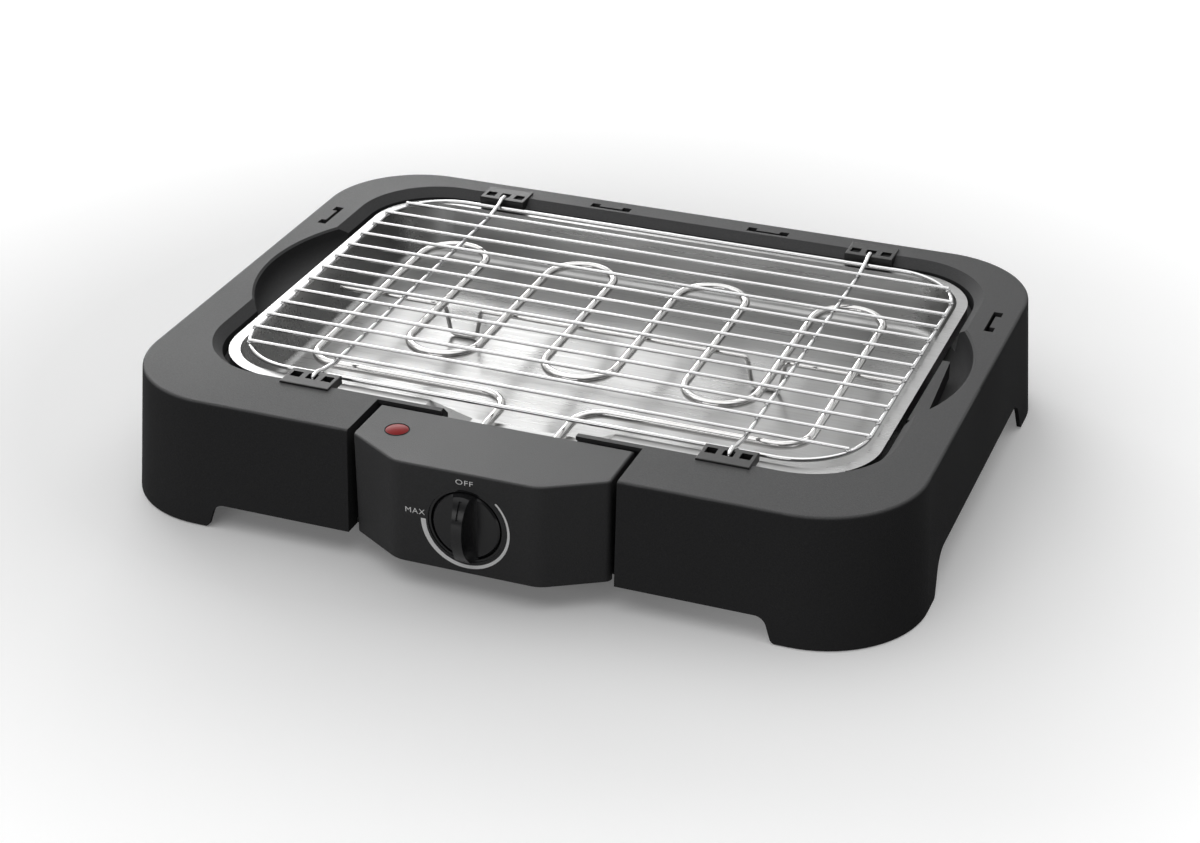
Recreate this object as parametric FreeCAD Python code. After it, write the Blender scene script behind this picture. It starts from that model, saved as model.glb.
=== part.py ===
import FreeCAD, Part
import math
import os

# Table-top electric grill. A moulded frame on four feet carries a steel water tray. A control box with
# a tubular heating element drops into the front of the frame, and a wire grate hangs in four holders.
# Millimetres, +Z up. The origin lies on the table, under the middle of the whole object.

# Moulded frame: overall outline at the rim, wall and lean of the skirt
body_width = 520.0
body_depth = 390.2
body_height = 87.2
corner_radius = 67.5
wall_flare = 5.7
skin = 2.6
rim_edge_radius = 2.0
foot_gap = 0.8

# Rim: its width on each side of the opening, and the sloped inner edge
rim_side = 28.7
rim_back = 18.5
rim_front = 47.7
opening_radius = 57.0
rim_chamfer = 6.1
collar_wall = 1.8
collar_depth = 9.0

# Ledge under the rim that the tray stands on
ledge_drop = 15.6
ledge_width = 9.7

# Finger scoops in the left and right rim, and the tongue in the right one
scoop_length = 123.2
scoop_reach = 16.8
scoop_depth = 24.0
scoop_edge = 1.4
tongue_back = 26.0
tongue_tip = 5.0
tongue_root = 10.2

# Slots in the rim for a wind guard
slot_length = 30.4
slot_width = 6.3
slot_bar = 2.6
slot_prong = 6.5
slot_back_spread = 60.2
slot_back_inset = 2.8
slot_side_inset = 10.7
slot_side_place = 96.2

# Feet and the arches between them
front_arch = 17.4
side_arch = 26.0
front_foot = 72.0
side_foot = 78.6
front_arch_run = 5.5
side_arch_run = 11.5
front_arch_radius = 8.0
side_arch_radius = 18.0
foot_corner = 4.5
foot_plate_lift = 3.2
foot_plate = 42.0
pad_radius = 9.0
pad_inset = 30.0

# Notch in the front of the frame for the control box, and the shelf at its foot
notch_width = 176.8
strip_width = 4.1
strip_gap = 90.0
shelf_depth = 36.0
shelf_lift = 0.6

# Control box
box_gap = 4.1
box_back_gap = 3.0
box_bulge = 22.4
box_flat = 94.0
box_bend_radius = 20.0
box_side_radius = 5.0
box_top_drop = 1.0
box_skin = 2.5
box_edge_radius = 1.6
back_plate = 1.2
boss_radius = 4.0
boss_inset = 10.0
front_boss_spread = 58.0
front_boss_inset = 14.0

# Knob, its well in the box front, the dial ring and the shaft
knob_level_share = 0.42448
well_radius = 25.0
well_depth = 8.0
dial_ring_wall = 1.6
dial_ring_depth = 3.0
dial_ring_sink = 0.8
knob_radius = 22.0
knob_thickness = 4.5
knob_edge = 1.0
grip_height = 14.5
grip_end_height = 4.5
grip_base = 15.4
grip_waist = 9.0
grip_top = 6.8
grip_length = 45.0
pointer_width = 1.8
pointer_length = 10.0
pointer_depth = 1.2
hub_radius = 6.0
shaft_radius = 3.0
shaft_seat = 8.0

# Control box contents
thermostat_width = 30.0
thermostat_height_share = 0.562
thermostat_depth = 22.0
lamp_radius = 7.2
lamp_dome = 1.1
lamp_flange = 1.2
lamp_place = 60.9
lamp_inset = 13.7
lamp_holder_radius = 5.5
lamp_holder_length = 20.0
block_width = 34.0
block_depth = 14.0
block_height = 16.0
block_place = 52.0
block_ways = 3
clamp_radius = 2.0
clamp_length = 6.0
lead_radius = 1.2
lead_bend = 5.0
gland_radius = 7.0
gland_neck = 5.5
gland_bore = 3.5
gland_flange = 2.0
gland_drop = 6.0
gland_place = 36.0
screw_radius = 1.5
screw_head_radius = 2.8
screw_head = 1.5
screw_bite = 9.0

# Water tray, pressed from steel sheet
tray_gap = 10.3
tray_flange_drop = 6.2
tray_flange = 7.5
tray_lean = 8.5
tray_depth = 43.1
tray_sheet = 0.8
tray_floor_radius = 6.0
sill_drop = 21.0
sill_top_width = 125.0
sill_width = 78.0
sill_reach = 12.0

# Heating element: a bent steel tube in one level
element_radius = 3.0
element_drop = 16.3
run_side_inset = 60.5
run_count = 8
element_bend = 20.0
back_loop = 62.1
front_loop = 94.9
front_row = 57.9
leg_inset = 20.0
flange_sheet = 1.5
flange_height = 19.0
flange_margin = 16.0
bush_radius = 4.2
bush_length = 6.0
pin_radius = 1.6
pin_length = 11.0
lug_size = 6.0

# Bent wire under the element
support_radius = 1.5
support_side_inset = 27.3
support_place = 12.9
support_bend = 4.0
dip_place_share = 0.539
dip_top_width = 27.0
dip_width = 19.0

# Grate
grate_inset = 20.3
grate_front_inset = 20.9
grate_back_inset = 16.5
grate_corner = 47.0
ring_radius = 1.5
bar_radius = 1.2
bar_count = 13
bar_drop = 1.0
bar_margin = 21.5
hook_drop = 3.9
hook_bend = 3.0
hook_rise = 8.0

# Grate holders on the rim
holder_side_inset = 91.8
holder_width = 34.0
holder_length = 20.2
holder_front_reach = 14.4
holder_back_reach = 12.2
holder_rise = 1.4
holder_depth = 4.2
holder_hole = 7.0
holder_pitch = 11.0
holder_wall = 4.3
holder_slot = 4.2
holder_slot_depth = 1.9
holder_edge = 0.6
peg_radius = 1.5
peg_length = 4.0

# Clearances, and how far a cut runs past what it cuts
seat_gap = 0.2
fit_gap = 0.15
weld_gap = 0.03
overrun = 4.0
same_point = 0.001

# Levels and places that follow from the sizes above
rim_z = body_height
body_y = (box_bulge + grip_height - wall_flare) / 2
front_y = body_y - body_depth / 2
back_y = body_y + body_depth / 2
half_width = body_width / 2
body_rect = (half_width, front_y, back_y, corner_radius)
foot_rect = (half_width + wall_flare, front_y - wall_flare, back_y + wall_flare, corner_radius)
opening_rect = (half_width - rim_side, front_y + rim_front, back_y - rim_back, opening_radius)
opening_y = (opening_rect[1] + opening_rect[2]) / 2
holder_spread = opening_rect[0] - holder_side_inset
run_pitch = 2 * (opening_rect[0] - run_side_inset) / (run_count - 1)
throat_x = opening_rect[0] - rim_chamfer
ledge_z = rim_z - ledge_drop
notch_x = notch_width / 2
notch_back = opening_rect[1] - strip_width
box_x = notch_x - box_gap
box_back = notch_back - box_back_gap
box_front = front_y - box_bulge
box_top = rim_z - box_top_drop
shelf_z = front_arch + shelf_lift + skin
base_z = shelf_z + seat_gap
base_top = base_z + box_skin
knob_z = base_top + (box_top - base_top) * knob_level_share
well_back = box_front + well_depth
thermostat_front = well_back + box_skin
thermostat_y = thermostat_front + thermostat_depth / 2
flange_z = rim_z - tray_flange_drop
floor_z = rim_z - tray_depth
sill_z = rim_z - sill_drop
element_z = rim_z - element_drop
support_z = element_z - element_radius - support_radius - weld_gap
bar_z = rim_z - bar_drop
ring_z = bar_z - bar_radius - ring_radius - weld_gap
holder_top = rim_z + holder_rise

X_AXIS = FreeCAD.Vector(1, 0, 0)
Y_AXIS = FreeCAD.Vector(0, 1, 0)
Z_AXIS = FreeCAD.Vector(0, 0, 1)
parts = {}


def point(x, y, z):
    return FreeCAD.Vector(x, y, z)


def rounded_edges(points, radii, closed):
    """Straight runs joined by tangent arcs; radii holds one radius for each point."""
    count = len(points)
    starts = list(points)
    ends = list(points)
    arcs = [None] * count
    corners = range(count) if closed else range(1, count - 1)
    for i in corners:
        corner = points[i]
        back = (points[i - 1] - corner).normalize()
        ahead = (points[(i + 1) % count] - corner).normalize()
        turn = math.pi - back.getAngle(ahead)
        if radii[i] <= 0 or turn < same_point:
            continue
        run = radii[i] * math.tan(turn / 2)
        starts[i] = corner + back * run
        ends[i] = corner + ahead * run
        middle = (back + ahead).normalize() * (radii[i] / math.cos(turn / 2) - radii[i])
        arcs[i] = Part.Arc(starts[i], corner + middle, ends[i]).toShape()
    edges = []
    for i in range(count):
        if arcs[i] is not None:
            edges.append(arcs[i])
        following = (i + 1) % count
        if not closed and following == 0:
            break
        if (starts[following] - ends[i]).Length > same_point:
            edges.append(Part.LineSegment(ends[i], starts[following]).toShape())
    return edges


def rounded_wire(points, radii, closed=True):
    return Part.Wire(rounded_edges(points, radii, closed))


def outline(rect, grow, z):
    """A rectangle with round corners, given as (half width, front, back, radius) and grown all round."""
    half, front, back, radius = rect
    corners = [point(-half - grow, front - grow, z), point(half + grow, front - grow, z),
               point(half + grow, back + grow, z), point(-half - grow, back + grow, z)]
    return rounded_wire(corners, [radius + grow] * len(corners))


def slab(wire, height):
    return Part.Face(wire).extrude(point(0, 0, height))


def rect_slab(rect, grow, bottom, top):
    return slab(outline(rect, grow, bottom), top - bottom)


def loft(*wires):
    return Part.makeLoft(list(wires), True, True)


def box(x0, x1, y0, y1, z0, z1):
    return Part.makeBox(x1 - x0, y1 - y0, z1 - z0, point(x0, y0, z0))


def rod(radius, start, direction, length):
    return Part.makeCylinder(radius, length, start, direction)


def tube(points, bends, radius):
    """A round wire bent along the points."""
    edges = rounded_edges(points, bends, False)
    path = Part.Wire(edges)
    heading = points[1] - points[0]
    section = Part.Wire(Part.Circle(points[0], heading, radius).toShape())
    return path.makePipeShell([section], True, False)


def level_edges(shape, z):
    """Edges that lie at one height."""
    return [e for e in shape.Edges if all(abs(v.Point.z - z) < same_point for v in e.Vertexes)
            and abs(e.CenterOfMass.z - z) < same_point]


def mirrored(shape):
    return shape.mirror(point(0, 0, 0), X_AXIS)


def one_solid(shape):
    return shape.removeSplitter()


def arch_cutter(half, run, height, radius, across):
    """The arch between two feet, seen square on, as a cutter that runs through the wall."""
    wide = half + 2 * foot_corner
    sole = foot_gap - seat_gap
    side = [(wide, -overrun), (wide, sole), (half, sole), (half - run, height)]
    radii = [0, 0, foot_corner, radius]
    profile = [(-u, v) for u, v in side] + side[::-1]
    reach = body_width + body_depth
    if across == X_AXIS:
        corners = [point(-reach, body_y + u, v) for u, v in profile]
    else:
        corners = [point(u, -reach, v) for u, v in profile]
    return Part.Face(rounded_wire(corners, radii + radii[::-1])).extrude(across * (2 * reach))


# Frame: one moulding with skirt, rim, inner wall, ledge, scoops, notch and feet
def scoop_bowl(wall, to_z):
    """A hollow turned about an upright axis: a quarter round from the rim down to a flat floor."""
    radius = (scoop_length ** 2 / 4 + scoop_reach ** 2) / (2 * scoop_reach) + wall
    depth = scoop_depth + wall
    centre = opening_rect[0] + scoop_reach + wall - radius
    waist = centre + radius - depth
    slant = depth / math.sqrt(2)
    floor = rim_z - depth
    curve = Part.Arc(point(waist, opening_y, floor), point(waist + slant, opening_y, rim_z - slant),
                     point(centre + radius, opening_y, rim_z)).toShape()
    corners = [point(centre + radius, opening_y, rim_z), point(centre + radius, opening_y, rim_z + overrun),
               point(centre, opening_y, rim_z + overrun), point(centre, opening_y, floor),
               point(waist, opening_y, floor)]
    profile = Part.Wire([curve] + Part.makePolygon(corners).Edges)
    turned = Part.Face(profile).revolve(point(centre, opening_y, 0), Z_AXIS, 360)
    return turned.common(box(throat_x - ledge_width, half_width, front_y, back_y, 0, to_z))


def scoop_bevel():
    """The broken edge round the top of a scoop."""
    radius = (scoop_length ** 2 / 4 + scoop_reach ** 2) / (2 * scoop_reach)
    centre = opening_rect[0] + scoop_reach - radius
    cone = Part.makeCone(radius, radius + scoop_edge + overrun, scoop_edge + overrun,
                         point(centre, opening_y, rim_z - scoop_edge), Z_AXIS)
    return cone.common(box(throat_x, half_width, front_y, back_y, 0, rim_z + overrun))


def wind_slot(x, y, turn):
    """A bar with a prong at each end; the prongs point away from the opening."""
    low = rim_z - collar_depth - overrun
    high = rim_z + overrun
    half = slot_length / 2
    pieces = box(-half, half, 0, slot_bar, low, high)
    pieces = pieces.fuse(box(-half, slot_prong - half, 0, slot_width, low, high))
    pieces = pieces.fuse(box(half - slot_prong, half, 0, slot_width, low, high))
    pieces.rotate(point(0, 0, 0), Z_AXIS, turn)
    pieces.translate(point(x, y, 0))
    return pieces


def holder_peg_places():
    """Peg centres of the four holders: left and right, front and back."""
    over_front = holder_length - holder_front_reach
    over_back = holder_length - holder_back_reach
    front = opening_rect[1] - over_front / 2
    back = opening_rect[2] + over_back / 2
    return [(side * holder_spread, y) for y in (front, back) for side in (-1, 1)]


def pad_places():
    across = half_width - pad_inset
    along = body_depth / 2 - pad_inset
    return {"front_left": (-across, body_y - along), "front_right": (across, body_y - along),
            "back_left": (-across, body_y + along), "back_right": (across, body_y + along)}


def make_frame():
    outer = loft(outline(foot_rect, 0, foot_gap), outline(body_rect, 0, rim_z))
    outer = outer.makeFillet(rim_edge_radius, level_edges(outer, rim_z))
    lean = wall_flare * overrun / body_height
    hollow = loft(outline(foot_rect, lean - skin, foot_gap - overrun),
                  outline(body_rect, -skin, rim_z - skin))
    frame = outer.cut(hollow)

    throat_rect = (throat_x, opening_rect[1] + rim_chamfer, opening_rect[2] - rim_chamfer,
                   opening_radius - rim_chamfer)
    frame = frame.fuse(rect_slab(opening_rect, collar_wall, rim_z - collar_depth, rim_z - skin / 2))
    frame = frame.fuse(rect_slab(throat_rect, skin, ledge_z - skin, rim_z - rim_chamfer))
    scoop_wall = scoop_bowl(skin, rim_z - skin / 2)
    frame = frame.fuse([scoop_wall, mirrored(scoop_wall)])

    frame = frame.cut([
        loft(outline(throat_rect, 0, rim_z - rim_chamfer), outline(opening_rect, 0, rim_z)),
        rect_slab(opening_rect, 0, rim_z, rim_z + overrun),
        rect_slab(throat_rect, 0, ledge_z, rim_z),
        rect_slab(throat_rect, -ledge_width, ledge_z - skin - overrun, rim_z)])
    scoop = scoop_bowl(0, rim_z + overrun)
    bevel = scoop_bevel()
    frame = frame.cut([scoop, mirrored(scoop), bevel, mirrored(bevel)])
    tongue_y = opening_y - scoop_length / 2
    tongue_end = opening_y + tongue_back
    tongue_foot = ledge_z - skin
    tongue = [point(throat_x, tongue_y, tongue_foot), point(throat_x + tongue_root, tongue_y, tongue_foot),
              point(throat_x + tongue_tip, tongue_end, tongue_foot),
              point(throat_x, tongue_end, tongue_foot)]
    tongue_height = ledge_drop + skin - rim_chamfer
    frame = frame.fuse(slab(Part.makePolygon(tongue + tongue[:1]), tongue_height))

    back_slot_y = opening_rect[2] + slot_back_inset
    side_slot_x = opening_rect[0] + slot_side_inset
    side_slot_y = body_y + slot_side_place
    frame = frame.cut([wind_slot(-slot_back_spread, back_slot_y, 0),
                       wind_slot(slot_back_spread, back_slot_y, 0),
                       wind_slot(-side_slot_x, side_slot_y, 90),
                       wind_slot(side_slot_x, side_slot_y, -90)])

    front_half = half_width - front_foot
    side_half = body_depth / 2 - side_foot
    arch_front = arch_cutter(front_half, front_arch_run, front_arch, front_arch_radius, Y_AXIS)
    arch_side = arch_cutter(side_half, side_arch_run, side_arch, side_arch_radius, X_AXIS)
    frame = frame.cut([arch_front, arch_side])

    frame = frame.cut(box(-notch_x, notch_x, front_y - wall_flare - overrun, notch_back,
                          -overrun, rim_z + overrun))
    cheek = box(notch_x, notch_x + skin, front_y - wall_flare, opening_rect[1], front_arch, rim_z)
    cheek = cheek.common(outer)
    shelf = box(-notch_x - skin, notch_x + skin, notch_back - shelf_depth, opening_rect[1],
                shelf_z - skin, shelf_z)
    riser = box(-notch_x - skin, notch_x + skin, notch_back, opening_rect[1], shelf_z - skin, ledge_z)
    frame = frame.fuse([cheek, mirrored(cheek), shelf, riser])
    gap_x = strip_gap / 2
    sill_x = sill_top_width / 2 + tray_sheet + overrun
    inside = opening_rect[1] + rim_chamfer + ledge_width + overrun
    frame = frame.cut(box(-gap_x, gap_x, notch_back - overrun, inside, sill_z - overrun, rim_z + overrun))
    frame = frame.cut(box(-sill_x, sill_x, opening_rect[1] - seat_gap, inside,
                          sill_z - overrun, rim_z - collar_depth))

    plate_z = foot_gap + foot_plate_lift
    plate_x = half_width - foot_plate
    wide = half_width + wall_flare
    plates = [box(plate_x, wide, back_y - foot_plate, back_y + wall_flare, plate_z, plate_z + skin),
              box(plate_x, wide, front_y - wall_flare, front_y + foot_plate, plate_z, plate_z + skin)]
    plates = [p.common(hollow) for p in plates]
    frame = frame.fuse(plates + [mirrored(p) for p in plates])
    hole_z = rim_z - peg_length - seat_gap
    holes = [rod(peg_radius + fit_gap, point(x, y, hole_z), Z_AXIS, peg_length + overrun)
             for x, y in holder_peg_places()]
    frame = frame.cut(holes)
    parts["frame"] = one_solid(frame)


def make_foot_pads():
    for corner, (x, y) in pad_places().items():
        parts["foot_pad_" + corner] = rod(pad_radius, point(x, y, 0), Z_AXIS, foot_gap + foot_plate_lift)


# Water tray: pressed sheet with a flat flange, a turned-down edge and a low sill at the front
def sill_profile(lower):
    top = sill_top_width / 2
    low = sill_width / 2
    return [(-top, flange_z - lower), (-low, sill_z - lower),
            (low, sill_z - lower), (top, flange_z - lower)]


def sill_slab(lower, to_z, y0, y1):
    top = sill_top_width / 2
    corners = sill_profile(lower) + [(top, to_z), (-top, to_z)]
    wire = Part.makePolygon([point(x, y0, z) for x, z in corners + corners[:1]])
    return Part.Face(wire).extrude(point(0, y1 - y0, 0))


def make_tray():
    half = opening_rect[0] - tray_gap
    front = opening_rect[1] + tray_gap
    back = opening_rect[2] - tray_gap
    tray_rect = (half, front, back, opening_radius - tray_gap)
    mouth_rect = (half - tray_flange, front + tray_flange, back - tray_flange, tray_rect[3] - tray_flange)

    hollow = loft(outline(mouth_rect, -tray_lean, floor_z), outline(mouth_rect, 0, flange_z))
    hollow = hollow.makeFillet(tray_floor_radius, level_edges(hollow, floor_z))
    bowl = loft(outline(mouth_rect, tray_sheet - tray_lean, floor_z - tray_sheet),
                outline(mouth_rect, tray_sheet, flange_z))
    bowl = bowl.makeFillet(tray_floor_radius + tray_sheet, level_edges(bowl, floor_z - tray_sheet))
    edge = rect_slab(tray_rect, 0, ledge_z + seat_gap, flange_z).cut(
        rect_slab(tray_rect, -tray_sheet, ledge_z, flange_z - tray_sheet))
    tray = bowl.fuse(edge)

    sill_back = mouth_rect[1] + sill_reach
    top = sill_top_width / 2
    low = sill_width / 2

    def sill_plan(thinner, bottom):
        corners = [(-top, front - overrun), (top, front - overrun), (top, mouth_rect[1] - thinner),
                   (low, sill_back - thinner), (-low, sill_back - thinner), (-top, mouth_rect[1] - thinner)]
        wire = Part.makePolygon([point(x, y, bottom) for x, y in corners + corners[:1]])
        return slab(wire, rim_z - bottom)

    under_z = floor_z - tray_sheet - overrun
    swelling = sill_slab(0, under_z, front - overrun, sill_back).common(sill_plan(0, floor_z))
    beneath = sill_slab(tray_sheet, under_z, front - overrun, sill_back)
    beneath = beneath.common(sill_plan(tray_sheet, under_z))
    above = sill_slab(0, rim_z, front - overrun, sill_back)
    tray = tray.cut(above)
    tray = tray.fuse(swelling.common(rect_slab(tray_rect, 0, floor_z, flange_z)))
    tray = tray.cut(hollow.cut(swelling))
    tray = tray.cut(beneath)
    parts["water_tray"] = one_solid(tray)


# Control box: shell, base, back plate and what they hold
def box_plan(grow_back, inset, z):
    """Plan of the box: square at the back, with bevelled shoulders to the flat front."""
    flat = box_flat / 2
    back = box_back + grow_back
    corners = [point(-box_x, back, z), point(-box_x, front_y, z), point(-flat, box_front, z),
               point(flat, box_front, z), point(box_x, front_y, z), point(box_x, back, z)]
    radii = [0, box_side_radius, box_bend_radius, box_bend_radius, box_side_radius, 0]
    wire = rounded_wire(corners, radii)
    return wire.makeOffset2D(-inset) if inset > 0 else wire


def boss_places():
    back = box_back - back_plate - boss_inset
    front = box_front + front_boss_inset
    wide = box_x - boss_inset
    return [(-wide, back), (wide, back), (-front_boss_spread, front), (front_boss_spread, front)]


def knob_rod(radius, y0, y1):
    return rod(radius, point(0, y0, knob_z), Y_AXIS, y1 - y0)


def lamp_rod(radius, z0, z1):
    return rod(radius, point(-lamp_place, front_y + lamp_inset, z0), Z_AXIS, z1 - z0)


def make_box():
    shell = slab(box_plan(0, 0, front_arch), box_top - front_arch)
    shell = shell.makeFillet(box_edge_radius, level_edges(shell, box_top))
    low = front_arch - overrun
    inside = slab(box_plan(box_skin + overrun, box_skin, low), box_top - box_skin - low)
    shell = shell.cut(inside)
    shell = shell.fuse(knob_rod(well_radius + box_skin, box_front + box_skin / 2, thermostat_front))
    bosses = [rod(boss_radius, point(x, y, base_top), Z_AXIS, box_top - box_skin / 2 - base_top)
              for x, y in boss_places()]
    shell = shell.fuse(bosses)
    step = box(-box_x - overrun, box_x + overrun, notch_back - shelf_depth - box_gap, box_back + overrun,
               front_arch - overrun, base_z)
    bites = [rod(screw_radius + fit_gap, point(x, y, base_top - overrun), Z_AXIS,
                 screw_bite + overrun + seat_gap) for x, y in boss_places()]
    screw_x = thermostat_width / 3
    fixings = [rod(screw_radius + fit_gap, point(s * screw_x, well_back - overrun, knob_z), Y_AXIS,
                   overrun + overrun) for s in (-1, 1)]
    lamp_hole = lamp_rod(lamp_radius + fit_gap, box_top - box_skin - overrun, box_top + overrun)
    shell = shell.cut([step, lamp_hole, knob_rod(well_radius, box_front - overrun, well_back),
                       knob_rod(shaft_radius + fit_gap, well_back - overrun, thermostat_front + overrun)])
    parts["control_box_shell"] = one_solid(shell.cut(bites + fixings))

    base = slab(box_plan(box_skin, box_skin + fit_gap, base_z), box_skin)
    trim = box(-box_x, box_x, box_back - back_plate - fit_gap, box_back + overrun,
               base_z - overrun, base_top + overrun)
    bores = [rod(screw_radius + fit_gap, point(x, y, base_z - overrun), Z_AXIS, box_skin + 2 * overrun)
             for x, y in boss_places()]
    sinks = [rod(screw_head_radius + fit_gap, point(x, y, base_z - overrun), Z_AXIS, screw_head + overrun)
             for x, y in boss_places()]
    gland_x = -gland_place
    gland_y = notch_back - shelf_depth - box_gap - gland_radius
    gland_hole = rod(gland_neck + fit_gap, point(gland_x, gland_y, base_z - overrun), Z_AXIS,
                     box_skin + 2 * overrun)
    well_room = knob_rod(well_radius + box_skin + fit_gap, box_front, thermostat_front + fit_gap)
    parts["control_box_base"] = base.cut([trim, gland_hole, well_room] + bores + sinks)
    screws = []
    for x, y in boss_places():
        head = rod(screw_head_radius, point(x, y, base_z), Z_AXIS, screw_head)
        screws.append(head.fuse(rod(screw_radius, point(x, y, base_z), Z_AXIS, box_skin + screw_bite)))
    parts["base_screws"] = Part.Compound(screws)

    neck_bottom = base_z - gland_drop
    gland = rod(gland_radius, point(gland_x, gland_y, neck_bottom), Z_AXIS, gland_drop)
    gland = gland.fuse(rod(gland_neck, point(gland_x, gland_y, neck_bottom), Z_AXIS, gland_drop + box_skin))
    gland = gland.fuse(rod(gland_radius, point(gland_x, gland_y, base_top), Z_AXIS, gland_flange))
    bore = rod(gland_bore, point(gland_x, gland_y, neck_bottom - overrun), Z_AXIS,
               gland_drop + box_skin + gland_flange + 2 * overrun)
    parts["cable_gland"] = gland.cut(bore)


def make_back_plate():
    half = box_x - box_skin - fit_gap
    plate = box(-half, half, box_back - back_plate, box_back, base_z, box_top - box_skin - fit_gap)
    hole_front = box_back - back_plate - overrun
    holes = [rod(element_radius + fit_gap, point(s * run_pitch / 2, hole_front, element_z), Y_AXIS,
                 back_plate + 2 * overrun) for s in (-1, 1)]
    flange_front = box_back - back_plate - flange_sheet
    flange_x = run_pitch / 2 + flange_margin
    screw_x = run_pitch / 2 + flange_margin * 3 / 5
    fixings = [rod(screw_radius + fit_gap, point(s * screw_x, flange_front - overrun, element_z), Y_AXIS,
                   back_plate + flange_sheet + 2 * overrun) for s in (-1, 1)]
    parts["control_box_back"] = plate.cut(holes + fixings)
    flange = box(-flange_x, flange_x, flange_front, box_back - back_plate,
                 element_z - flange_height / 2, element_z + flange_height / 2)
    collars = [rod(element_radius, point(s * run_pitch / 2, flange_front - overrun, element_z),
                   Y_AXIS, flange_sheet + 2 * overrun) for s in (-1, 1)]
    parts["element_flange"] = flange.cut(collars + fixings)
    screws = []
    for s in (-1, 1):
        x = s * screw_x
        head = rod(screw_head_radius, point(x, flange_front - screw_head, element_z), Y_AXIS, screw_head)
        shank = rod(screw_radius, point(x, flange_front, element_z), Y_AXIS, back_plate + flange_sheet)
        screws.append(head.fuse(shank))
    parts["flange_screws"] = Part.Compound(screws)


# Heating element: eight runs in one level, with both ends led forward into the control box
def make_element():
    legs_end = box_back - leg_inset
    back = opening_rect[2] - back_loop
    front = opening_rect[1] + front_loop
    row = opening_rect[1] + front_row
    half = run_pitch / 2
    runs = [(2 * i + 1 - run_count) * half for i in range(run_count)]
    route = [(-half, legs_end, 0), (-half, row, element_bend), (runs[0], row, element_bend)]
    ends = (back, front)
    for i in range(run_count - 1):
        turn = ends[i % 2]
        route += [(runs[i], turn, half), (runs[i + 1], turn, half)]
    route += [(runs[-1], row, element_bend), (half, row, element_bend), (half, legs_end, 0)]
    points = [point(x, y, element_z) for x, y, bend in route]
    parts["heating_element"] = tube(points, [bend for x, y, bend in route], element_radius)

    for name, s in (("left", -1), ("right", 1)):
        x = s * half
        bush_end = legs_end - bush_length
        parts["insulator_" + name] = rod(bush_radius, point(x, bush_end, element_z), Y_AXIS, bush_length)
        pin_end = bush_end - pin_length
        pin = rod(pin_radius, point(x, pin_end, element_z), Y_AXIS, pin_length)
        lug = box(x - lug_size / 2, x + lug_size / 2, pin_end - lug_size, pin_end,
                  element_z - lug_size / 2, element_z + lug_size / 2)
        parts["terminal_" + name] = pin.fuse(lug)
    return legs_end - bush_length - pin_length - lug_size / 2


def make_support():
    y = opening_y + support_place
    half = opening_rect[0] - support_side_inset
    dip_place = half * dip_place_share
    low = floor_z + support_radius + seat_gap
    side = [(half, support_z), (dip_place + dip_top_width / 2, support_z), (dip_place + dip_width / 2, low),
            (dip_place - dip_width / 2, low), (dip_place - dip_top_width / 2, support_z)]
    route = [(-x, z) for x, z in side] + side[::-1]
    points = [point(x, y, z) for x, z in route]
    parts["element_support"] = tube(points, [support_bend] * len(points), support_radius)


# Knob, dial ring, shaft and thermostat
def make_knob():
    disc = knob_rod(knob_radius, box_front, box_front + knob_thickness)
    rim = [e for e in disc.Edges if e.Closed and abs(e.CenterOfMass.y - box_front) < same_point]
    disc = disc.makeChamfer(knob_edge, rim)
    base = grip_base / 2
    waist = grip_waist / 2
    top = grip_top / 2
    low = knob_z - grip_length / 2
    crest = box_front - grip_height
    middle = box_front - grip_height / 2
    back = box_front + knob_thickness / 2
    right = [point(base, box_front, low), point(waist, middle, low), point(top, crest, low)]
    left = [point(-top, crest, low), point(-waist, middle, low), point(-base, box_front, low)]
    foot = [point(-base, back, low), point(base, back, low)]
    section = Part.Wire([Part.Arc(*right).toShape(),
                         Part.LineSegment(right[-1], left[0]).toShape(),
                         Part.Arc(*left).toShape(),
                         Part.LineSegment(left[-1], foot[0]).toShape(),
                         Part.LineSegment(foot[0], foot[1]).toShape(),
                         Part.LineSegment(foot[1], right[0]).toShape()])
    grip = Part.Face(section).extrude(point(0, 0, grip_length))
    sag = grip_height - grip_end_height
    crown = ((grip_length / 2) ** 2 + sag ** 2) / (2 * sag)
    grip = grip.common(rod(crown, point(-knob_radius, crest + crown, knob_z), X_AXIS, 2 * knob_radius))
    grip = grip.common(knob_rod(grip_length / 2, crest - overrun, back + overrun))
    knob = disc.fuse(grip)
    slot_top = knob_z + grip_length / 2 - pointer_width
    groove = rod(crown, point(-pointer_width / 2, crest + crown, knob_z), X_AXIS, pointer_width).cut(
        rod(crown - pointer_depth, point(-pointer_width, crest + crown, knob_z), X_AXIS, 2 * pointer_width))
    knob = knob.cut(groove.common(box(-pointer_width, pointer_width, crest - overrun, box_front,
                                      slot_top - pointer_length, slot_top)))
    hub_end = well_back - seat_gap - screw_head
    knob = knob.fuse(knob_rod(hub_radius, box_front + knob_thickness / 2, hub_end))
    shaft_tip = box_front + knob_thickness / 2
    parts["control_knob"] = one_solid(knob.cut(knob_rod(shaft_radius, shaft_tip, well_back)))
    parts["thermostat_shaft"] = knob_rod(shaft_radius, shaft_tip, thermostat_front + shaft_seat)

    ring_front = box_front + dial_ring_sink
    ring = knob_rod(well_radius - fit_gap, ring_front, ring_front + dial_ring_depth)
    ring = ring.cut(knob_rod(well_radius - fit_gap - dial_ring_wall, box_front - overrun, well_back))
    parts["dial_ring"] = ring


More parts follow.
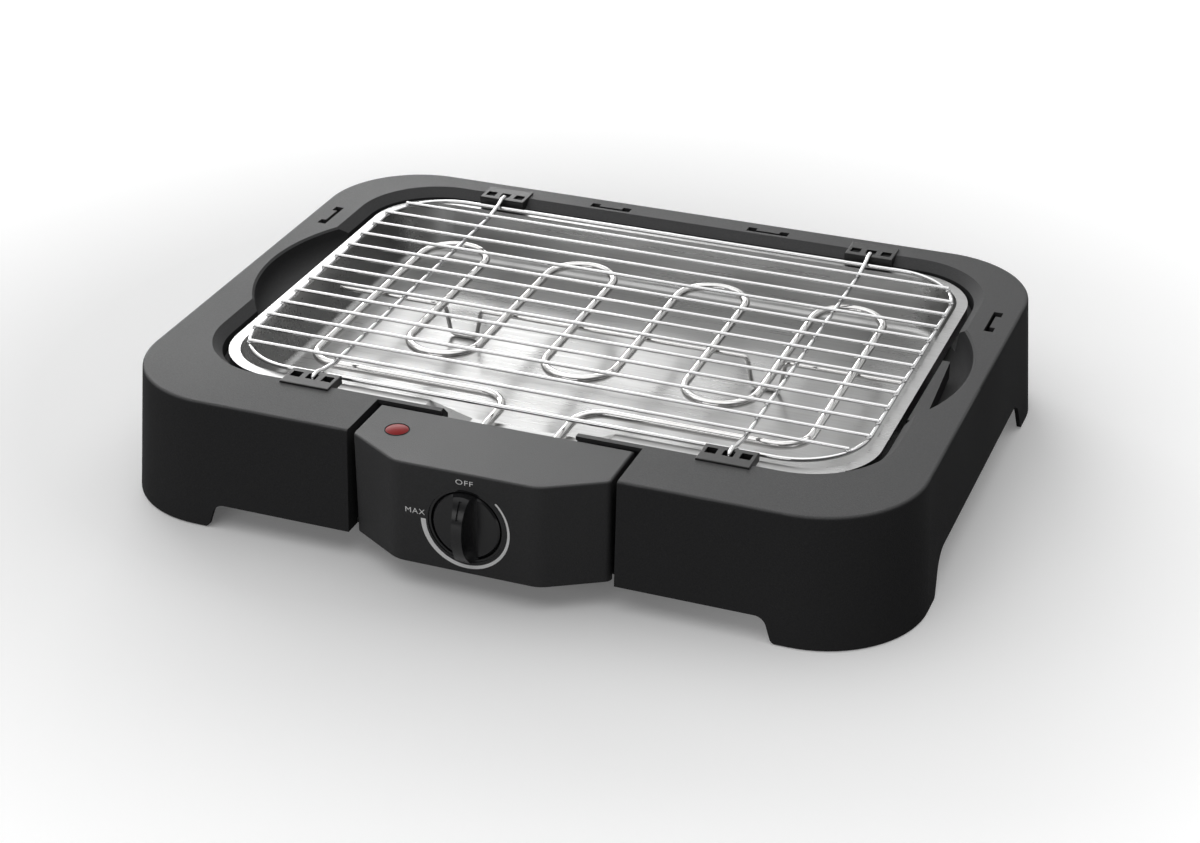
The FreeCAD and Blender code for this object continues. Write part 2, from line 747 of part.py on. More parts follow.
def make_thermostat():
    half = thermostat_width / 2
    tall = (knob_z - base_top) * thermostat_height_share
    body = box(-half, half, thermostat_front, thermostat_front + thermostat_depth,
               knob_z - tall, knob_z + tall)
    screw_x = thermostat_width / 3
    bites = [rod(screw_radius + fit_gap, point(s * screw_x, thermostat_front - overrun, knob_z), Y_AXIS,
                 shaft_seat + overrun) for s in (-1, 1)]
    seat_end = thermostat_front + shaft_seat + seat_gap
    seat = knob_rod(shaft_radius + fit_gap, thermostat_front - overrun, seat_end)
    parts["thermostat_body"] = body.cut(bites + [seat])
    screws = []
    for s in (-1, 1):
        x = s * screw_x
        head = rod(screw_head_radius, point(x, well_back - screw_head, knob_z), Y_AXIS, screw_head)
        shank = rod(screw_radius, point(x, well_back, knob_z), Y_AXIS, box_skin + shaft_seat - seat_gap)
        screws.append(head.fuse(shank))
    parts["thermostat_screws"] = Part.Compound(screws)


def make_lamp():
    under = box_top - box_skin
    lens = lamp_rod(lamp_radius, under - lamp_flange, box_top + lamp_dome)
    bow = (lamp_radius ** 2 + lamp_dome ** 2) / (2 * lamp_dome)
    centre = point(-lamp_place, front_y + lamp_inset, box_top + lamp_dome - bow)
    lens = lens.common(Part.makeSphere(bow, centre))
    lens = lens.fuse(lamp_rod(lamp_radius + lamp_flange, under - lamp_flange, under))
    parts["lamp_lens"] = lens
    seat = under - lamp_flange
    parts["lamp_holder"] = lamp_rod(lamp_holder_radius, seat - lamp_holder_length, seat)


# Terminal block on the base, and the leads to thermostat, element and back plate
def make_wiring(lug_y):
    left = block_place - block_width / 2
    y0 = lug_y - block_depth / 4
    block = box(left, left + block_width, y0, y0 + block_depth, base_top, base_top + block_height)
    pitch = block_width / block_ways
    ways = [left + pitch * (i + 1 / 2) for i in range(block_ways)]
    clamp_z = base_top + block_height - clamp_length
    sockets = [rod(clamp_radius + fit_gap, point(x, lug_y, clamp_z), Z_AXIS, clamp_length + overrun)
               for x in ways]
    parts["terminal_block"] = block.cut(sockets)
    clamps = [rod(clamp_radius, point(x, lug_y, clamp_z), Z_AXIS, clamp_length - lead_radius) for x in ways]
    parts["clamp_screws"] = Part.Compound(clamps)
    face = thermostat_width / 2
    low = base_top + block_height / 2
    middle = (face + left) / 2
    bend = (left - face) / 4
    high = low + 3 * bend
    parts["lead_live"] = tube([point(left, thermostat_y, low), point(middle, thermostat_y, low),
                               point(middle, thermostat_y, high), point(face, thermostat_y, high)],
                              [0, bend, bend, 0], lead_radius)
    lug_x = run_pitch / 2
    lug_z = element_z - lug_size / 2
    load = [point(-face, lug_y, knob_z), point(-lug_x, lug_y, knob_z), point(-lug_x, lug_y, lug_z)]
    parts["lead_load"] = tube(load, [0, lead_bend, 0], lead_radius)
    riser = ways[0] + pitch / 2
    neutral = [point(riser, lug_y, base_top + block_height), point(riser, lug_y, element_z),
               point(lug_x + lug_size / 2, lug_y, element_z)]
    parts["lead_neutral"] = tube(neutral, [0, lead_bend, 0], lead_radius)
    parts["lead_earth"] = rod(lead_radius, point(ways[-1], y0 + block_depth, low), Y_AXIS,
                              box_back - back_plate - y0 - block_depth)


# Grate: ring, cross bars on it, and two carriers that hook into the holders
def make_grate():
    half = opening_rect[0] - grate_inset
    front = opening_rect[1] + grate_front_inset
    back = opening_rect[2] - grate_back_inset
    path = outline((half, front, back, grate_corner), 0, ring_z)
    start = path.OrderedVertexes[0].Point
    ahead = path.OrderedEdges[0].tangentAt(path.OrderedEdges[0].FirstParameter)
    section = Part.Wire(Part.Circle(start, ahead, ring_radius).toShape())
    parts["grate_ring"] = path.makePipeShell([section], True, False)

    first = front + bar_margin
    pitch = (back - front - 2 * bar_margin) / (bar_count - 1)
    bars = []
    for i in range(bar_count):
        y = first + i * pitch
        into = max(front + grate_corner - y, y - back + grate_corner, 0)
        reach = half - grate_corner + math.sqrt(grate_corner ** 2 - into ** 2) + ring_radius / 2
        bars.append(rod(bar_radius, point(-reach, y, bar_z), X_AXIS, 2 * reach))
    parts["grate_bars"] = Part.Compound(bars)

    over_ring = ring_z + 2 * ring_radius + 4 * weld_gap
    hook_z = holder_top - holder_slot_depth + ring_radius + seat_gap
    front_edge = opening_rect[1] + holder_front_reach
    back_edge = opening_rect[2] - holder_back_reach
    front_hole = front_edge - holder_wall - holder_hole * 4 / 9
    back_hole = back_edge + holder_wall + holder_hole * 4 / 9
    last = first + (bar_count - 1) * pitch
    route = [(front_hole, hook_z - hook_drop, 0), (front_hole, hook_z, hook_bend),
             (front_edge, hook_z, hook_bend), (front, over_ring, hook_bend),
             (first - hook_rise / 2, ring_z, hook_bend), (last + hook_rise / 2, ring_z, hook_bend),
             (back, over_ring, hook_bend), (back_edge, hook_z, hook_bend),
             (back_hole, hook_z, hook_bend), (back_hole, hook_z - hook_drop, 0)]
    for name, s in (("left", -1), ("right", 1)):
        points = [point(s * holder_spread, y, z) for y, z, bend in route]
        parts["grate_carrier_" + name] = tube(points, [bend for y, z, bend in route], ring_radius)


# Holders: a plate on the rim and a block over the tray's edge with three square holes
def make_holder(reach):
    """One holder at the front rim, with the opening's edge at y = 0 and its middle at x = 0."""
    half = holder_width / 2
    outer = reach - holder_length
    low = rim_z - holder_depth
    rest = rim_z + seat_gap
    tuck = seat_gap * math.sqrt(2) + seat_gap
    profile = [(outer, rest), (outer, holder_top), (reach, holder_top), (reach, low),
               (holder_depth + tuck, low), (tuck - seat_gap, rest)]
    wire = Part.makePolygon([point(-half, y, z) for y, z in profile + profile[:1]])
    block = Part.Face(wire).extrude(point(holder_width, 0, 0))
    block = block.makeFillet(holder_edge, level_edges(block, holder_top))
    hole_back = reach - holder_wall
    for i in (-1, 0, 1):
        x = i * holder_pitch
        block = block.cut(box(x - holder_hole / 2, x + holder_hole / 2, hole_back - holder_hole, hole_back,
                              low - overrun, holder_top + overrun))
    block = block.cut(box(-holder_slot / 2, holder_slot / 2, hole_back - overrun / 2, reach + overrun,
                          holder_top - holder_slot_depth, holder_top + overrun))
    peg_foot = rim_z - peg_length + seat_gap
    return block.fuse(rod(peg_radius, point(0, outer / 2, peg_foot), Z_AXIS, peg_length))


def make_holders():
    for end, reach, edge, turn in (("front", holder_front_reach, opening_rect[1], 0),
                                   ("back", holder_back_reach, opening_rect[2], 180)):
        for side, s in (("left", -1), ("right", 1)):
            holder = make_holder(reach)
            holder.rotate(point(0, 0, 0), Z_AXIS, turn)
            holder.translate(point(s * holder_spread, edge, 0))
            parts["grate_holder_" + end + "_" + side] = holder


make_frame()
make_foot_pads()
make_tray()
make_box()
make_back_plate()
lug_place = make_element()
make_support()
make_knob()
make_thermostat()
make_lamp()
make_wiring(lug_place)
make_grate()
make_holders()

os.makedirs("parts", exist_ok=True)
for node, shape in parts.items():
    shape.exportStep("parts/" + node + ".step")
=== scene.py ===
import bpy
import bmesh
import math
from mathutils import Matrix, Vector


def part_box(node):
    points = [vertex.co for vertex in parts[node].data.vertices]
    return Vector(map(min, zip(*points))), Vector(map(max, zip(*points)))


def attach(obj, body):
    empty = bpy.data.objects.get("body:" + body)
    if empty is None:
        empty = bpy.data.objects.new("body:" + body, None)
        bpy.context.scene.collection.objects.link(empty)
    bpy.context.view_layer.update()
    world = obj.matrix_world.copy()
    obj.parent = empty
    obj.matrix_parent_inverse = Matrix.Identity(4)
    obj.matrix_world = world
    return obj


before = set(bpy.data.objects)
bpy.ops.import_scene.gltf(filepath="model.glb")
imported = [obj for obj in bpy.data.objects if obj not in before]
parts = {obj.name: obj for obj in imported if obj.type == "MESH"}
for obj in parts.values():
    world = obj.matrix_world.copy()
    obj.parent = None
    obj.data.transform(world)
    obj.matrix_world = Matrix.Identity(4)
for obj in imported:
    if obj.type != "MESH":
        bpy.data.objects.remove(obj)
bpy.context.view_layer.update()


# Frame moulding: the rim, skirt and four feet in one piece of black thermoplastic.
# It comes out of the mould with a fine spark-eroded grain, a little smoother on the rim.
def socket_names(group, kind, names):
    for name, socket in names:
        group.interface.new_socket(name=name, in_out=kind, socket_type=socket)


def wire_up(tree, *pairs):
    for source, target in pairs:
        tree.links.new(source, target)


def moulded_grain_group():
    tree = bpy.data.node_groups.new("moulded_grain", "ShaderNodeTree")
    socket_names(tree, "INPUT", [("Side Color", "NodeSocketColor"), ("Top Color", "NodeSocketColor"),
                                 ("Grain", "NodeSocketFloat"), ("Side Roughness", "NodeSocketFloat"),
                                 ("Top Roughness", "NodeSocketFloat")])
    socket_names(tree, "OUTPUT", [("Color", "NodeSocketColor"), ("Roughness", "NodeSocketFloat"),
                                  ("Height", "NodeSocketFloat")])
    given = tree.nodes.new("NodeGroupInput")
    result = tree.nodes.new("NodeGroupOutput")
    place = tree.nodes.new("ShaderNodeTexCoord")
    # How far a face points up mixes Side Color into Top Color. Where Top Color is the lighter one, this is
    # painted light on tops and painted shade on sides.
    facing = tree.nodes.new("ShaderNodeSeparateXYZ")
    upward = tree.nodes.new("ShaderNodeMapRange")
    upward.interpolation_type = "SMOOTHSTEP"
    upward.inputs["From Min"].default_value = 0.25
    upward.inputs["From Max"].default_value = 0.97
    pits = tree.nodes.new("ShaderNodeTexNoise")
    pits.inputs["Detail"].default_value = 3.0
    pits.inputs["Roughness"].default_value = 0.6
    cells = tree.nodes.new("ShaderNodeTexVoronoi")
    cells.feature = "SMOOTH_F1"
    cells.inputs["Smoothness"].default_value = 0.6
    flow = tree.nodes.new("ShaderNodeTexNoise")
    flow.inputs["Scale"].default_value = 9.0
    flow.inputs["Detail"].default_value = 4.0
    height = tree.nodes.new("ShaderNodeMath")
    height.operation = "MULTIPLY_ADD"
    height.inputs[1].default_value = 0.5
    tint = tree.nodes.new("ShaderNodeMix")
    tint.data_type = "RGBA"
    speck = tree.nodes.new("ShaderNodeMapRange")
    speck.inputs["From Min"].default_value = 0.3
    speck.inputs["From Max"].default_value = 0.7
    speck.inputs["To Min"].default_value = 0.88
    speck.inputs["To Max"].default_value = 1.12
    specked = tree.nodes.new("ShaderNodeVectorMath")
    specked.operation = "SCALE"
    dull = tree.nodes.new("ShaderNodeMix")
    drift = tree.nodes.new("ShaderNodeMapRange")
    drift.inputs["From Min"].default_value = 0.3
    drift.inputs["From Max"].default_value = 0.7
    drift.inputs["To Min"].default_value = 0.94
    drift.inputs["To Max"].default_value = 1.06
    uneven = tree.nodes.new("ShaderNodeMath")
    uneven.operation = "MULTIPLY"
    wire_up(tree,
            (place.outputs["Normal"], facing.inputs[0]), (facing.outputs["Z"], upward.inputs["Value"]),
            (place.outputs["Object"], pits.inputs["Vector"]), (place.outputs["Object"], cells.inputs["Vector"]),
            (place.outputs["Object"], flow.inputs["Vector"]), (given.outputs["Grain"], pits.inputs["Scale"]),
            (given.outputs["Grain"], cells.inputs["Scale"]), (cells.outputs["Distance"], height.inputs[0]),
            (pits.outputs["Fac"], height.inputs[2]), (height.outputs[0], result.inputs["Height"]),
            (upward.outputs["Result"], tint.inputs["Factor"]), (given.outputs["Side Color"], tint.inputs["A"]),
            (given.outputs["Top Color"], tint.inputs["B"]), (pits.outputs["Fac"], speck.inputs["Value"]),
            (tint.outputs["Result"], specked.inputs[0]), (speck.outputs["Result"], specked.inputs["Scale"]),
            (specked.outputs["Vector"], result.inputs["Color"]),
            (upward.outputs["Result"], dull.inputs["Factor"]),
            (given.outputs["Side Roughness"], dull.inputs["A"]),
            (given.outputs["Top Roughness"], dull.inputs["B"]),
            (flow.outputs["Fac"], drift.inputs["Value"]), (dull.outputs["Result"], uneven.inputs[0]),
            (drift.outputs["Result"], uneven.inputs[1]), (uneven.outputs[0], result.inputs["Roughness"]))
    return tree


def blank_finish(name):
    finish = bpy.data.materials.new(name)
    finish.use_nodes = True
    return finish, finish.node_tree, finish.node_tree.nodes["Principled BSDF"]


def grained_plastic(name, side, top, grain, side_rough, top_rough, depth, gloss):
    finish, tree, skin = blank_finish(name)
    grained = tree.nodes.new("ShaderNodeGroup")
    grained.node_tree = bpy.data.node_groups.get("moulded_grain") or moulded_grain_group()
    grained.inputs["Side Color"].default_value = (*side, 1)
    grained.inputs["Top Color"].default_value = (*top, 1)
    grained.inputs["Grain"].default_value = grain
    grained.inputs["Side Roughness"].default_value = side_rough
    grained.inputs["Top Roughness"].default_value = top_rough
    bump = tree.nodes.new("ShaderNodeBump")
    bump.inputs["Distance"].default_value = depth
    bump.inputs["Strength"].default_value = 0.7
    skin.inputs["Specular IOR Level"].default_value = gloss
    wire_up(tree, (grained.outputs["Color"], skin.inputs["Base Color"]),
            (grained.outputs["Roughness"], skin.inputs["Roughness"]),
            (grained.outputs["Height"], bump.inputs["Height"]), (bump.outputs["Normal"], skin.inputs["Normal"]))
    return finish


def dress(finish, *names):
    for name in names:
        mesh = parts[name].data
        mesh.materials.clear()
        mesh.materials.append(finish)


# The frame's up-facing faces are a lighter grey than its walls: painted light on the rim and painted shade on
# the walls.
frame_black = grained_plastic("frame_black", side=(0.034, 0.034, 0.035), top=(0.092, 0.092, 0.093),
                              grain=1300.0, side_rough=0.95, top_rough=0.5, depth=0.00014, gloss=0.08)
dress(frame_black, "frame")

# Foot pads: soft black rubber buttons pushed up against the plate in each corner foot.
# The rubber is dull, and lighter on the faces that point up than on its sides.
pad_rubber = grained_plastic("pad_rubber", side=(0.016, 0.016, 0.016), top=(0.05, 0.048, 0.045),
                             grain=700.0, side_rough=0.78, top_rough=0.92, depth=0.00015, gloss=0.3)
dress(pad_rubber, "foot_pad_front_left", "foot_pad_front_right",
      "foot_pad_back_left", "foot_pad_back_right")


# Water tray: pressed from bright rolled steel sheet, with a flat flange and a low front sill.
# Rolling leaves faint lines along the length.
def drawn_metal_group():
    tree = bpy.data.node_groups.new("drawn_metal", "ShaderNodeTree")
    socket_names(tree, "INPUT", [("Color", "NodeSocketColor"), ("Shade", "NodeSocketColor"),
                                 ("Stretch", "NodeSocketVector"), ("Smooth", "NodeSocketFloat"),
                                 ("Rough", "NodeSocketFloat")])
    socket_names(tree, "OUTPUT", [("Color", "NodeSocketColor"), ("Roughness", "NodeSocketFloat"),
                                  ("Height", "NodeSocketFloat")])
    given = tree.nodes.new("NodeGroupInput")
    result = tree.nodes.new("NodeGroupOutput")
    place = tree.nodes.new("ShaderNodeTexCoord")
    draw = tree.nodes.new("ShaderNodeVectorMath")
    draw.operation = "MULTIPLY"
    lines = tree.nodes.new("ShaderNodeTexNoise")
    lines.inputs["Scale"].default_value = 1.0
    lines.inputs["Detail"].default_value = 4.0
    lines.inputs["Roughness"].default_value = 0.65
    clouds = tree.nodes.new("ShaderNodeTexNoise")
    clouds.inputs["Scale"].default_value = 16.0
    clouds.inputs["Detail"].default_value = 3.0
    mixed = tree.nodes.new("ShaderNodeMath")
    mixed.operation = "MULTIPLY_ADD"
    mixed.inputs[1].default_value = 0.6
    half = tree.nodes.new("ShaderNodeMath")
    half.operation = "MULTIPLY"
    half.inputs[1].default_value = 0.4
    tint = tree.nodes.new("ShaderNodeMix")
    tint.data_type = "RGBA"
    dull = tree.nodes.new("ShaderNodeMapRange")
    dull.inputs["From Min"].default_value = 0.35
    dull.inputs["From Max"].default_value = 0.65
    wire_up(tree,
            (place.outputs["Object"], draw.inputs[0]), (given.outputs["Stretch"], draw.inputs[1]),
            (draw.outputs["Vector"], lines.inputs["Vector"]),
            (place.outputs["Object"], clouds.inputs["Vector"]),
            (clouds.outputs["Fac"], half.inputs[0]), (lines.outputs["Fac"], mixed.inputs[0]),
            (half.outputs[0], mixed.inputs[2]), (mixed.outputs[0], tint.inputs["Factor"]),
            (given.outputs["Color"], tint.inputs["A"]), (given.outputs["Shade"], tint.inputs["B"]),
            (tint.outputs["Result"], result.inputs["Color"]), (mixed.outputs[0], dull.inputs["Value"]),
            (given.outputs["Smooth"], dull.inputs["To Min"]), (given.outputs["Rough"], dull.inputs["To Max"]),
            (dull.outputs["Result"], result.inputs["Roughness"]),
            (lines.outputs["Fac"], result.inputs["Height"]))
    return tree


def drawn_metal(name, color, shade, stretch, smooth, rough, depth):
    finish, tree, skin = blank_finish(name)
    drawn = tree.nodes.new("ShaderNodeGroup")
    drawn.node_tree = bpy.data.node_groups.get("drawn_metal") or drawn_metal_group()
    drawn.inputs["Color"].default_value = (*color, 1)
    drawn.inputs["Shade"].default_value = (*shade, 1)
    drawn.inputs["Stretch"].default_value = stretch
    drawn.inputs["Smooth"].default_value = smooth
    drawn.inputs["Rough"].default_value = rough
    bump = tree.nodes.new("ShaderNodeBump")
    bump.inputs["Distance"].default_value = depth
    bump.inputs["Strength"].default_value = 0.3
    skin.inputs["Metallic"].default_value = 1.0
    wire_up(tree, (drawn.outputs["Color"], skin.inputs["Base Color"]),
            (drawn.outputs["Roughness"], skin.inputs["Roughness"]),
            (drawn.outputs["Height"], bump.inputs["Height"]), (bump.outputs["Normal"], skin.inputs["Normal"]))
    return finish


tray_steel = drawn_metal("tray_steel", color=(0.46, 0.46, 0.457), shade=(0.31, 0.31, 0.308),
                         stretch=(6.0, 500.0, 500.0), smooth=0.24, rough=0.38, depth=0.00003)
dress(tray_steel, "water_tray")

# Heating element: a steel tube bent into eight runs, with a wire support under it.
# The tube is drawn and bright, and both ends are brazed into a flange inside the control box.
element_steel = drawn_metal("element_steel", color=(0.74, 0.735, 0.73), shade=(0.5, 0.495, 0.485),
                            stretch=(300.0, 20.0, 300.0), smooth=0.05, rough=0.13, depth=0.00002)
dress(element_steel, "heating_element", "element_support")
plate_steel = drawn_metal("plate_steel", color=(0.6, 0.6, 0.6), shade=(0.45, 0.45, 0.46),
                          stretch=(500.0, 500.0, 10.0), smooth=0.3, rough=0.45, depth=0.00003)
dress(plate_steel, "control_box_back", "element_flange")
bush_ceramic = grained_plastic("bush_ceramic", side=(0.82, 0.8, 0.74), top=(0.7, 0.67, 0.6), grain=900.0,
                               side_rough=0.2, top_rough=0.35, depth=0.00003, gloss=0.5)
dress(bush_ceramic, "insulator_left", "insulator_right")
terminal_brass = drawn_metal("terminal_brass", color=(0.78, 0.58, 0.26), shade=(0.6, 0.42, 0.18),
                             stretch=(300.0, 30.0, 300.0), smooth=0.2, rough=0.4, depth=0.00002)
dress(terminal_brass, "terminal_left", "terminal_right")

# Control box: a black moulded shell closed by a base underneath, which four screws hold.
# Its face carries a printed dial: a tapering arc and two words in pale ink.
# As on the frame, the box's lighter top and darker sides are painted light and painted shade.
box_black = grained_plastic("box_black", side=(0.034, 0.034, 0.035), top=(0.088, 0.088, 0.089),
                            grain=1300.0, side_rough=0.62, top_rough=0.5, depth=0.00014, gloss=0.16)
dress(box_black, "control_box_shell", "control_box_base")
zinc = drawn_metal("zinc_plate", color=(0.7, 0.71, 0.74), shade=(0.55, 0.56, 0.58),
                   stretch=(200.0, 200.0, 200.0), smooth=0.22, rough=0.4, depth=0.00002)
dress(zinc, "base_screws", "flange_screws", "thermostat_screws", "clamp_screws", "thermostat_shaft")
dress(pad_rubber, "cable_gland")

dial_ink = grained_plastic("dial_ink", side=(0.86, 0.86, 0.86), top=(0.86, 0.86, 0.86), grain=2600.0,
                           side_rough=0.5, top_rough=0.5, depth=0.00002, gloss=0.4)
face_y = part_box("control_box_shell")[0].y
dial_low, dial_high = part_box("dial_ring")
dial_z = (dial_low.z + dial_high.z) / 2
ink_thick = 0.00006
arc_radius = 0.0279
arc_thin = 0.0011
arc_thick = 0.0033
arc_from = math.radians(45)
arc_to = math.radians(270)
arc_steps = 72
outer_edge = []
inner_edge = []
for i in range(arc_steps + 1):
    share = i / arc_steps
    turn = arc_from + (arc_to - arc_from) * share
    width = arc_thin + (arc_thick - arc_thin) * share
    for edge, reach in ((outer_edge, arc_radius + width / 2), (inner_edge, arc_radius - width / 2)):
        edge.append((math.sin(turn) * reach, dial_z + math.cos(turn) * reach))


def ink_band(name, outer, inner):
    mesh = bpy.data.meshes.new(name)
    build = bmesh.new()
    rows = []
    for (ox, oz), (ix, iz) in zip(outer, inner):
        rows.append([build.verts.new(p) for p in ((ox, face_y, oz), (ox, face_y - ink_thick, oz),
                                                  (ix, face_y - ink_thick, iz), (ix, face_y, iz))])
    for a, b in zip(rows, rows[1:]):
        for k in range(4):
            build.faces.new((a[k], a[(k + 1) % 4], b[(k + 1) % 4], b[k]))
    build.faces.new(rows[0])
    build.faces.new(rows[-1][::-1])
    bmesh.ops.recalc_face_normals(build, faces=build.faces)
    build.to_mesh(mesh)
    build.free()
    piece = bpy.data.objects.new(name, mesh)
    bpy.context.scene.collection.objects.link(piece)
    mesh.materials.append(dial_ink)
    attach(piece, "heater")


ink_band("dial_arc", outer_edge, inner_edge)


def dial_word(name, word, width, height, x, z):
    """A word in pale ink, set to its width and height on the face."""
    letters = bpy.data.curves.new(name + "_line", "FONT")
    letters.body = word
    letters.size = 1.0
    letters.align_x = "CENTER"
    letters.align_y = "CENTER"
    letters.resolution_u = 4
    letters.space_character = 1.12
    holder = bpy.data.objects.new(name + "_line", letters)
    bpy.context.scene.collection.objects.link(holder)
    bpy.context.view_layer.update()
    mesh = bpy.data.meshes.new_from_object(holder.evaluated_get(bpy.context.evaluated_depsgraph_get()))
    bpy.data.objects.remove(holder)
    bpy.data.curves.remove(letters)
    xs = [v.co.x for v in mesh.vertices]
    ys = [v.co.y for v in mesh.vertices]
    mid_x, mid_y = (min(xs) + max(xs)) / 2, (min(ys) + max(ys)) / 2
    wide, tall = width / (max(xs) - min(xs)), height / (max(ys) - min(ys))
    for v in mesh.vertices:
        v.co = (x + (v.co.x - mid_x) * wide, face_y - ink_thick, z + (v.co.y - mid_y) * tall)
    mesh.name = name
    piece = bpy.data.objects.new(name, mesh)
    bpy.context.scene.collection.objects.link(piece)
    mesh.materials.clear()
    mesh.materials.append(dial_ink)
    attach(piece, "heater")


dial_word("dial_off", "OFF", width=0.0113, height=0.0034, x=-0.0002, z=dial_z + 0.0301)
dial_word("dial_max", "MAX", width=0.0129, height=0.0036, x=-0.0332, z=dial_z + 0.0042)

# Pilot lamp: a clear red lens pressed up through the box top, over a pale lamp body.
# Small prisms moulded inside the lens are drawn as cells, lighter red in the middle and darker at the edges:
# painted light for the light the prisms break up.
lens_red, lens_tree, lens_skin = blank_finish("lens_red")
lens_place = lens_tree.nodes.new("ShaderNodeTexCoord")
prisms = lens_tree.nodes.new("ShaderNodeTexVoronoi")
prisms.inputs["Scale"].default_value = 700.0
prisms.inputs["Randomness"].default_value = 0.15
painted_prism_light = lens_tree.nodes.new("ShaderNodeValToRGB")
painted_prism_light.color_ramp.elements[0].color = (0.3, 0.02, 0.02, 1)
painted_prism_light.color_ramp.elements[1].color = (0.22, 0.012, 0.012, 1)
lens_bump = lens_tree.nodes.new("ShaderNodeBump")
lens_bump.inputs["Distance"].default_value = 0.0001
lens_bump.inputs["Strength"].default_value = 0.25
lens_skin.inputs["Roughness"].default_value = 0.36
lens_skin.inputs["Specular IOR Level"].default_value = 0.06
wire_up(lens_tree, (lens_place.outputs["Object"], prisms.inputs["Vector"]),
        (prisms.outputs["Distance"], painted_prism_light.inputs["Fac"]),
        (painted_prism_light.outputs["Color"], lens_skin.inputs["Base Color"]),
        (prisms.outputs["Distance"], lens_bump.inputs["Height"]),
        (lens_bump.outputs["Normal"], lens_skin.inputs["Normal"]))
dress(lens_red, "lamp_lens")

# Lens gap shadow: a thin near-black ring round the lens where it comes through the box top, painted shade for
# the shadow in the gap.
# It lies flat on the top, with a rounded back.
lens_low, lens_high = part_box("lamp_lens")
lens_x, lens_y = (lens_low.x + lens_high.x) / 2, (lens_low.y + lens_high.y) / 2
box_top_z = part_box("control_box_shell")[1].z
lens_radius = 0.0072
gap_shadow_width = 0.0007
gap_shadow_high = 0.00035
gap_shadow_turns = 64
gap_shadow_back = 6
gap_shadow_mesh = bpy.data.meshes.new("lens_gap_shadow")
build = bmesh.new()
rows = []
for i in range(gap_shadow_turns):
    turn = 2 * math.pi * i / gap_shadow_turns
    row = []
    for k in range(gap_shadow_back + 1):
        bow = math.pi * k / gap_shadow_back
        out = lens_radius + gap_shadow_width / 2 * (1 - math.cos(bow))
        row.append(build.verts.new((lens_x + out * math.cos(turn), lens_y + out * math.sin(turn),
                                    box_top_z + gap_shadow_high * math.sin(bow))))
    rows.append(row)
for a, b in zip(rows, rows[1:] + rows[:1]):
    for k in range(gap_shadow_back + 1):
        build.faces.new((a[k], a[(k + 1) % (gap_shadow_back + 1)], b[(k + 1) % (gap_shadow_back + 1)], b[k]))
bmesh.ops.recalc_face_normals(build, faces=build.faces)
for face in build.faces:
    face.smooth = True
build.to_mesh(gap_shadow_mesh)
build.free()
gap_shadow = bpy.data.objects.new("lens_gap_shadow", gap_shadow_mesh)
bpy.context.scene.collection.objects.link(gap_shadow)
# Near-black ring material: painted shade, with its up-facing faces a little lighter.
gap_shadow_black = grained_plastic("gap_shadow_black", side=(0.006, 0.006, 0.006), top=(0.01, 0.01, 0.01),
                                grain=1500.0, side_rough=0.6, top_rough=0.7, depth=0.00002, gloss=0.2)
gap_shadow_mesh.materials.append(gap_shadow_black)
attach(gap_shadow, "heater")

# Lamp body, terminal block and thermostat: pale heat-proof mouldings inside the control box.
# They are screwed or clipped in, and have a dull, slightly yellowed skin.
pale_moulding = grained_plastic("pale_moulding", side=(0.7, 0.67, 0.58), top=(0.6, 0.56, 0.48), grain=900.0,
                                side_rough=0.45, top_rough=0.6, depth=0.00005, gloss=0.5)
dress(pale_moulding, "lamp_holder", "terminal_block", "thermostat_body")

# Leads: short sleeved wires from the terminal block to the thermostat, element and back plate.
# Each sleeve is a slightly waxy silicone in its own colour.
# The brown and blue sleeves are a little lighter on their up-facing faces than on their sides: painted light
# from above.
brown_sleeve = grained_plastic("brown_sleeve", side=(0.12, 0.05, 0.025), top=(0.17, 0.08, 0.04),
                               grain=1200.0, side_rough=0.4, top_rough=0.55, depth=0.00002, gloss=0.5)
blue_sleeve = grained_plastic("blue_sleeve", side=(0.02, 0.08, 0.32), top=(0.04, 0.12, 0.4), grain=1200.0,
                              side_rough=0.4, top_rough=0.55, depth=0.00002, gloss=0.5)
green_sleeve = grained_plastic("green_sleeve", side=(0.1, 0.32, 0.03), top=(0.55, 0.5, 0.04), grain=300.0,
                               side_rough=0.4, top_rough=0.55, depth=0.00002, gloss=0.5)
dress(brown_sleeve, "lead_live", "lead_load")
dress(blue_sleeve, "lead_neutral")
dress(green_sleeve, "lead_earth")

# Knob: a black moulding with a domed grip bar, sunk in a round well with a thin ring round it.
# It is smoother than the box; its up-facing faces are a little lighter than its sides, painted light from
# above.
knob_black = grained_plastic("knob_black", side=(0.011, 0.011, 0.012), top=(0.016, 0.016, 0.017),
                             grain=1800.0, side_rough=0.2, top_rough=0.2, depth=0.00003, gloss=0.28)
dress(knob_black, "control_knob", "dial_ring")

# Grate holders: four black mouldings on the rim, each with three square holes for the grate's hooks.
# They are a heat-proof plastic with a satin skin.
# Their up-facing faces are a little lighter than their sides: painted light from above.
holder_black = grained_plastic("holder_black", side=(0.012, 0.012, 0.012), top=(0.018, 0.018, 0.018),
                               grain=1600.0, side_rough=0.36, top_rough=0.48, depth=0.00004, gloss=0.35)
dress(holder_black, "grate_holder_front_left", "grate_holder_front_right",
      "grate_holder_back_left", "grate_holder_back_right")

